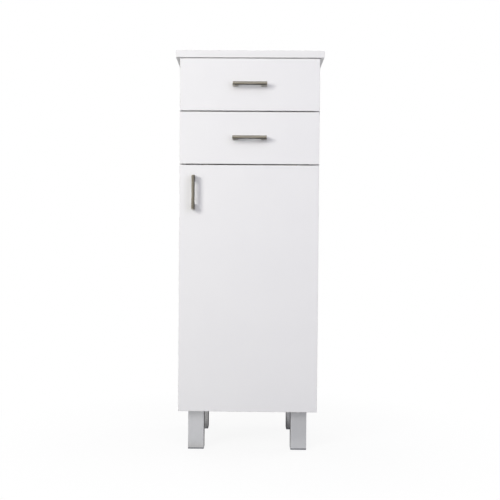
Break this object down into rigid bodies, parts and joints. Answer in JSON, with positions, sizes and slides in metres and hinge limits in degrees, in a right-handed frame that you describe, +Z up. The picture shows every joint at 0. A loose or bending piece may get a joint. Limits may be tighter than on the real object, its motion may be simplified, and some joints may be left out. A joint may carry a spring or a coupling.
{
  "type": "bathroom storage tower",
  "caption": "Narrow white floor-standing bathroom cabinet with drawers above a hinged cupboard door, on square metal legs.",
  "frame": {"origin": "on the floor, under the middle of the whole tower with its handles, drawers and door closed", "axes": "+Z up, +X to the right as seen from the front, +Y to the back; the fronts face -Y"},
  "size_m": [0.368, 0.354, 1],
  "materials": {
    "white_board": "white melamine-faced chipboard, satin",
    "white_top": "white laminated board, satin",
    "back_board": "thin white-faced hardboard",
    "dowel_beech": "plain beech",
    "leg_aluminium": "satin anodised",
    "brushed_nickel": "brushed nickel plate",
    "zinc_steel": "zinc plated",
    "nickel_fitting": "nickel plated",
    "white_enamel": "epoxy coated steel",
    "white_nylon": "moulded nylon",
    "grey_plastic": "moulded plastic",
    "clear_bumper": "soft clear plastic"
  },
  "bodies": {
    "cabinet": {"countertop": "white_top", "side_panel_left": "white_board", "side_panel_right": "white_board", "bottom_panel": "white_board", "divider_panel": "white_board", "top_rail_front": "white_board", "top_rail_back": "white_board", "back_panel": "back_board", "shelf_upper": "white_board", "shelf_lower": "white_board", "shelf_pins": "zinc_steel", "cam_locks": "zinc_steel", "cam_bolts": "zinc_steel", "dowels": "dowel_beech", "countertop_screws": "zinc_steel", "leg_front_left": "leg_aluminium", "leg_front_right": "leg_aluminium", "leg_back_left": "leg_aluminium", "leg_back_right": "leg_aluminium", "leg_plugs": "grey_plastic", "leg_screws": "zinc_steel", "cabinet_rails": "white_enamel", "hardware_screws": "zinc_steel", "hinge_plates": "nickel_fitting", "hinge_arms": "nickel_fitting"},
    "upper_drawer": {"upper_drawer_front": "white_board", "upper_drawer_inner_front": "white_board", "upper_drawer_side_left": "white_board", "upper_drawer_side_right": "white_board", "upper_drawer_rear": "white_board", "upper_drawer_bottom": "back_board", "upper_drawer_runners": "white_enamel", "upper_drawer_handle": "brushed_nickel", "upper_drawer_handle_screws": "zinc_steel", "upper_drawer_screws": "zinc_steel"},
    "lower_drawer": {"lower_drawer_front": "white_board", "lower_drawer_inner_front": "white_board", "lower_drawer_side_left": "white_board", "lower_drawer_side_right": "white_board", "lower_drawer_rear": "white_board", "lower_drawer_bottom": "back_board", "lower_drawer_runners": "white_enamel", "lower_drawer_handle": "brushed_nickel", "lower_drawer_handle_screws": "zinc_steel", "lower_drawer_screws": "zinc_steel"},
    "door": {"door_panel": "white_board", "hinge_cups": "nickel_fitting", "hinge_cup_screws": "zinc_steel", "door_handle": "brushed_nickel", "door_handle_screws": "zinc_steel", "door_bumpers": "clear_bumper"},
    "hinge_links": {"hinge_links": "nickel_fitting"},
    "upper_front_rollers": {"upper_front_rollers": "white_nylon"},
    "upper_rear_rollers": {"upper_rear_rollers": "white_nylon"},
    "lower_front_rollers": {"lower_front_rollers": "white_nylon"},
    "lower_rear_rollers": {"lower_rear_rollers": "white_nylon"},
    "foot_front_left": {"foot_front_left": "grey_plastic"},
    "foot_front_right": {"foot_front_right": "grey_plastic"},
    "foot_back_left": {"foot_back_left": "grey_plastic"},
    "foot_back_right": {"foot_back_right": "grey_plastic"}
  },
  "joints": [
    {"name": "upper_drawer_slide", "type": "slide", "parent": "cabinet", "child": "upper_drawer", "axis": [0, -1, 0], "range_m": [0, 0.22]},
    {"name": "upper_front_rollers_spin", "type": "hinge", "parent": "cabinet", "child": "upper_front_rollers", "pos_m": [0, -0.119, 0.8808], "axis": [1, 0, 0], "range_deg": [0, 1265]},
    {"name": "upper_rear_rollers_spin", "type": "hinge", "parent": "upper_drawer", "child": "upper_rear_rollers", "pos_m": [0, 0.1408, 0.8802], "axis": [1, 0, 0], "range_deg": [0, 1265]},
    {"name": "lower_drawer_slide", "type": "slide", "parent": "cabinet", "child": "lower_drawer", "axis": [0, -1, 0], "range_m": [0, 0.22]},
    {"name": "lower_front_rollers_spin", "type": "hinge", "parent": "cabinet", "child": "lower_front_rollers", "pos_m": [0, -0.119, 0.7488], "axis": [1, 0, 0], "range_deg": [0, 1265]},
    {"name": "lower_rear_rollers_spin", "type": "hinge", "parent": "lower_drawer", "child": "lower_rear_rollers", "pos_m": [0, 0.1408, 0.7482], "axis": [1, 0, 0], "range_deg": [0, 1265]},
    {"name": "door_swing", "type": "hinge", "parent": "cabinet", "child": "door", "pos_m": [0.1685, -0.143, 0.4095], "axis": [0, 0, 1], "range_deg": [0, 100]},
    {"name": "hinge_links_swing", "type": "hinge", "parent": "cabinet", "child": "hinge_links", "pos_m": [0.147, -0.139, 0.4095], "axis": [0, 0, 1], "range_deg": [-34.5, 0]},
    {"name": "foot_front_left_level", "type": "slide", "parent": "cabinet", "child": "foot_front_left", "axis": [0, 0, -1], "range_m": [0, 0.012]},
    {"name": "foot_front_right_level", "type": "slide", "parent": "cabinet", "child": "foot_front_right", "axis": [0, 0, -1], "range_m": [0, 0.012]},
    {"name": "foot_back_left_level", "type": "slide", "parent": "cabinet", "child": "foot_back_left", "axis": [0, 0, -1], "range_m": [0, 0.012]},
    {"name": "foot_back_right_level", "type": "slide", "parent": "cabinet", "child": "foot_back_right", "axis": [0, 0, -1], "range_m": [0, 0.012]}
  ],
  "couplings": [
    {"joint": "upper_front_rollers_spin", "follows": "upper_drawer_slide", "rad_per_m": 100},
    {"joint": "upper_rear_rollers_spin", "follows": "upper_drawer_slide", "rad_per_m": 100},
    {"joint": "lower_front_rollers_spin", "follows": "lower_drawer_slide", "rad_per_m": 100},
    {"joint": "lower_rear_rollers_spin", "follows": "lower_drawer_slide", "rad_per_m": 100},
    {"joint": "hinge_links_swing", "follows": "door_swing", "ratio": -0.34}
  ]
}
